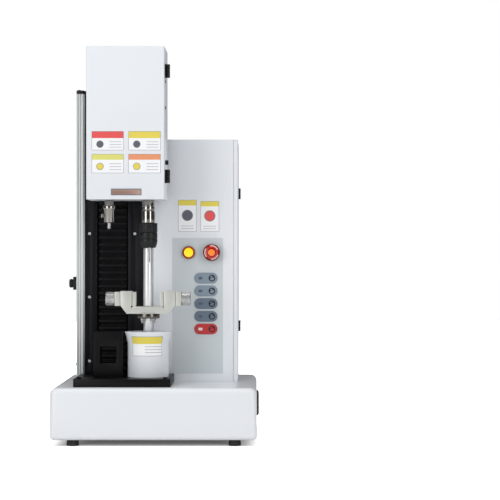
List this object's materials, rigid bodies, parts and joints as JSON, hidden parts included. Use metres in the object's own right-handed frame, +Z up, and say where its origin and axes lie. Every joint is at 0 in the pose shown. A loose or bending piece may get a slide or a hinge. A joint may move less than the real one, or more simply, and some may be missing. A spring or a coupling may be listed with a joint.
{
  "type": "torsion tester",
  "caption": "Bench torsion tester: rounded base, bellows column lifting a two-station head, rotary drive with clamping yoke, and a control cabinet.",
  "frame": {"origin": "bottom centre of the footprint, on the surface that the feet stand on", "axes": "+X to the right, +Y to the back, +Z up; the keys and the door face -Y"},
  "size_m": [0.467, 0.47, 0.8886],
  "materials": {
    "white_paint": "semi-gloss powder coat",
    "base_white": "semi-gloss moulded cover",
    "black_paint": "black satin coat",
    "black_rubber": "matt rubber",
    "bellows_sheet": "coated fabric pleats",
    "polished_steel": "turned and polished",
    "satin_steel": "turned, satin",
    "chuck_black": "black oxide with rubber feel",
    "yoke_alloy": "anodised, fine grain",
    "rail_alloy": "clear anodised extrusion",
    "plate_alloy": "milled plate",
    "black_plastic": "moulded",
    "key_blue": "moulded key",
    "key_dark": "moulded key",
    "key_red": "moulded key",
    "collar_grey": "moulded collar",
    "lens_amber": "lit lens",
    "stop_red": "moulded cap",
    "board_green": "laminate"
  },
  "bodies": {
    "root": {"base_shell": "base_white", "base_frame": "black_paint", "feet": "black_rubber", "side_grips": "black_rubber", "bed_plate": "black_paint", "cap_screws": "polished_steel", "column_channel": "black_paint", "column_face_plates": "black_paint", "end_caps": "black_plastic", "guide_rails": "satin_steel", "bearings": "satin_steel", "lift_motor": "black_paint", "bellows": "bellows_sheet", "limit_rail": "rail_alloy", "cabinet_shell": "white_paint", "front_panel": "white_paint", "switch_bodies": "collar_grey", "circuit_boards": "board_green", "power_supply": "plate_alloy", "rear_sockets": "black_plastic", "drive_cover": "white_paint", "torsion_gearmotor": "satin_steel", "anvil_block": "black_paint", "side_hinges": "black_plastic"},
    "head": {"carriage": "plate_alloy", "guide_blocks": "satin_steel", "ball_nut": "satin_steel", "head_frame": "plate_alloy", "hood_shell": "white_paint", "hood_hinges": "black_plastic", "load_cell": "plate_alloy", "torque_sensor": "plate_alloy", "push_spindle": "polished_steel", "push_probe": "satin_steel", "torsion_spindle": "polished_steel", "chuck_body": "chuck_black", "chuck_jaws": "satin_steel", "test_rod": "polished_steel"},
    "lift_spindle": {"lead_screw": "satin_steel"},
    "head_door": {"hood_door": "white_paint"},
    "cabinet_door": {"side_door": "white_paint"},
    "drive": {"drive_shaft": "satin_steel", "hub_screws": "polished_steel", "yoke": "yoke_alloy"},
    "jaw_left": {"left_jaw": "yoke_alloy"},
    "jaw_right": {"right_jaw": "yoke_alloy"},
    "knob_left": {"left_knob": "satin_steel"},
    "knob_right": {"right_knob": "satin_steel"},
    "sleeve": {"chuck_sleeve": "chuck_black"},
    "probe_screw": {"thumb_screw": "polished_steel"},
    "power_button": {"power_lens": "lens_amber"},
    "stop_button_stem": {"stop_stem": "satin_steel"},
    "stop_button_cap": {"stop_cap": "stop_red"},
    "key_1_cap": {"key_1": "key_blue"},
    "key_2_cap": {"key_2": "key_blue"},
    "key_3_cap": {"key_3": "key_dark"},
    "key_4_cap": {"key_4": "key_dark"},
    "key_5_cap": {"key_5": "key_red"},
    "stop_block": {"limit_stop": "black_plastic"},
    "stop_knob": {"limit_knob": "black_plastic"}
  },
  "joints": [
    {"name": "head_lift", "type": "slide", "parent": "root", "child": "head", "axis": [0, 0, 1], "range_m": [0, 0.1], "deforming": ["bellows"]},
    {"name": "screw_spin", "type": "hinge", "parent": "root", "child": "lift_spindle", "pos_m": [-0.106, 0.0533, 0.4], "axis": [0, 0, 1], "range_deg": [0, 7200.5]},
    {"name": "hood_door_swing", "type": "hinge", "parent": "head", "child": "head_door", "pos_m": [0.02835, -0.15925, 0.7], "axis": [0, 0, 1], "range_deg": [0, 110]},
    {"name": "cabinet_door_swing", "type": "hinge", "parent": "root", "child": "cabinet_door", "pos_m": [0.1868, 0.2, 0.4], "axis": [0, 0, 1], "range_deg": [0, 100]},
    {"name": "drive_spin", "type": "hinge", "parent": "root", "child": "drive", "pos_m": [-0.0175, -0.117, 0.28], "axis": [0, 0, 1], "continuous": true},
    {"name": "left_knob_turn", "type": "hinge", "parent": "drive", "child": "knob_left", "pos_m": [-0.0975, -0.117, 0.32325], "axis": [-1, 0, 0], "range_deg": [0, 3120]},
    {"name": "left_jaw_slide", "type": "slide", "parent": "drive", "child": "jaw_left", "axis": [1, 0, 0], "range_m": [0, 0.01301]},
    {"name": "right_knob_turn", "type": "hinge", "parent": "drive", "child": "knob_right", "pos_m": [0.0625, -0.117, 0.32325], "axis": [1, 0, 0], "range_deg": [0, 3120]},
    {"name": "right_jaw_slide", "type": "slide", "parent": "drive", "child": "jaw_right", "axis": [-1, 0, 0], "range_m": [0, 0.01301]},
    {"name": "chuck_sleeve_turn", "type": "hinge", "parent": "head", "child": "sleeve", "pos_m": [-0.0175, -0.117, 0.455], "axis": [0, 0, 1], "range_deg": [0, 720]},
    {"name": "thumb_screw_turn", "type": "hinge", "parent": "head", "child": "probe_screw", "pos_m": [-0.118, -0.117, 0.511], "axis": [-1, 0, 0], "range_deg": [0, 720]},
    {"name": "power_press", "type": "slide", "parent": "root", "child": "power_button", "axis": [0, 1, 0], "range_m": [0, 0.0025], "stiffness_N_per_m": 400},
    {"name": "stop_press", "type": "slide", "parent": "root", "child": "stop_button_stem", "axis": [0, 1, 0], "range_m": [0, 0.004]},
    {"name": "stop_twist", "type": "hinge", "parent": "stop_button_stem", "child": "stop_button_cap", "pos_m": [0.124, -0.03, 0.4278], "axis": [0, -1, 0], "range_deg": [0, 45], "stiffness_Nm_per_rad": 0.02},
    {"name": "key_1_press", "type": "slide", "parent": "root", "child": "key_1_cap", "axis": [0, 1, 0], "range_m": [0, 0.0012], "stiffness_N_per_m": 300},
    {"name": "key_2_press", "type": "slide", "parent": "root", "child": "key_2_cap", "axis": [0, 1, 0], "range_m": [0, 0.0012], "stiffness_N_per_m": 300},
    {"name": "key_3_press", "type": "slide", "parent": "root", "child": "key_3_cap", "axis": [0, 1, 0], "range_m": [0, 0.0012], "stiffness_N_per_m": 300},
    {"name": "key_4_press", "type": "slide", "parent": "root", "child": "key_4_cap", "axis": [0, 1, 0], "range_m": [0, 0.0012], "stiffness_N_per_m": 300},
    {"name": "key_5_press", "type": "slide", "parent": "root", "child": "key_5_cap", "axis": [0, 1, 0], "range_m": [0, 0.0012], "stiffness_N_per_m": 300},
    {"name": "limit_slide", "type": "slide", "parent": "root", "child": "stop_block", "axis": [0, 0, 1], "range_m": [-0.12, 0.15]},
    {"name": "limit_knob_turn", "type": "hinge", "parent": "stop_block", "child": "stop_knob", "pos_m": [-0.201, -0.014, 0.3564], "axis": [-1, 0, 0], "range_deg": [0, 720]}
  ],
  "couplings": [
    {"joint": "screw_spin", "follows": "head_lift", "rad_per_m": 1256.6},
    {"joint": "left_jaw_slide", "follows": "left_knob_turn", "m_per_rad": 0.00023873},
    {"joint": "right_jaw_slide", "follows": "right_knob_turn", "m_per_rad": 0.00023873}
  ]
}
